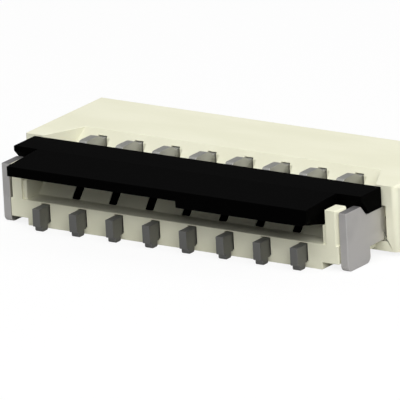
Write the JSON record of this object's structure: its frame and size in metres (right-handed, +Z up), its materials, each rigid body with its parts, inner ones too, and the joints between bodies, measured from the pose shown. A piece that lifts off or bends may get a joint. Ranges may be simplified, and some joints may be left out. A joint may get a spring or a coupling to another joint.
{
  "type": "flexible printed circuit connector",
  "caption": "Low right-angle board connector for a flat flexible cable, with stamped contacts, two solder hold-downs and a black lever that flips up at the solder-tail side.",
  "frame": {"origin": "middle of the connector's plan with the lever closed, on the board plane", "axes": "+X along the contact row, +Y towards the cable mouth, +Z up from the board"},
  "size_m": [0.01, 0.0052, 0.0016],
  "materials": {
    "housing": "cream liquid-crystal polymer, matte",
    "actuator": "black liquid-crystal polymer, matte",
    "hold_downs": "tin-plated copper alloy, satin",
    "contacts": "plated copper alloy, satin"
  },
  "bodies": {
    "base": {"housing": "housing", "hold_down_left": "hold_downs", "hold_down_right": "hold_downs", "contact_1": "contacts", "contact_2": "contacts", "contact_3": "contacts", "contact_4": "contacts", "contact_5": "contacts", "contact_6": "contacts", "contact_7": "contacts", "contact_8": "contacts"},
    "lever": {"actuator": "actuator"}
  },
  "joints": [
    {"name": "lever_flip", "type": "hinge", "parent": "base", "child": "lever", "pos_m": [0, -0.00056, 0.00157], "axis": [-1, 0, 0], "range_deg": [0, 90]}
  ]
}
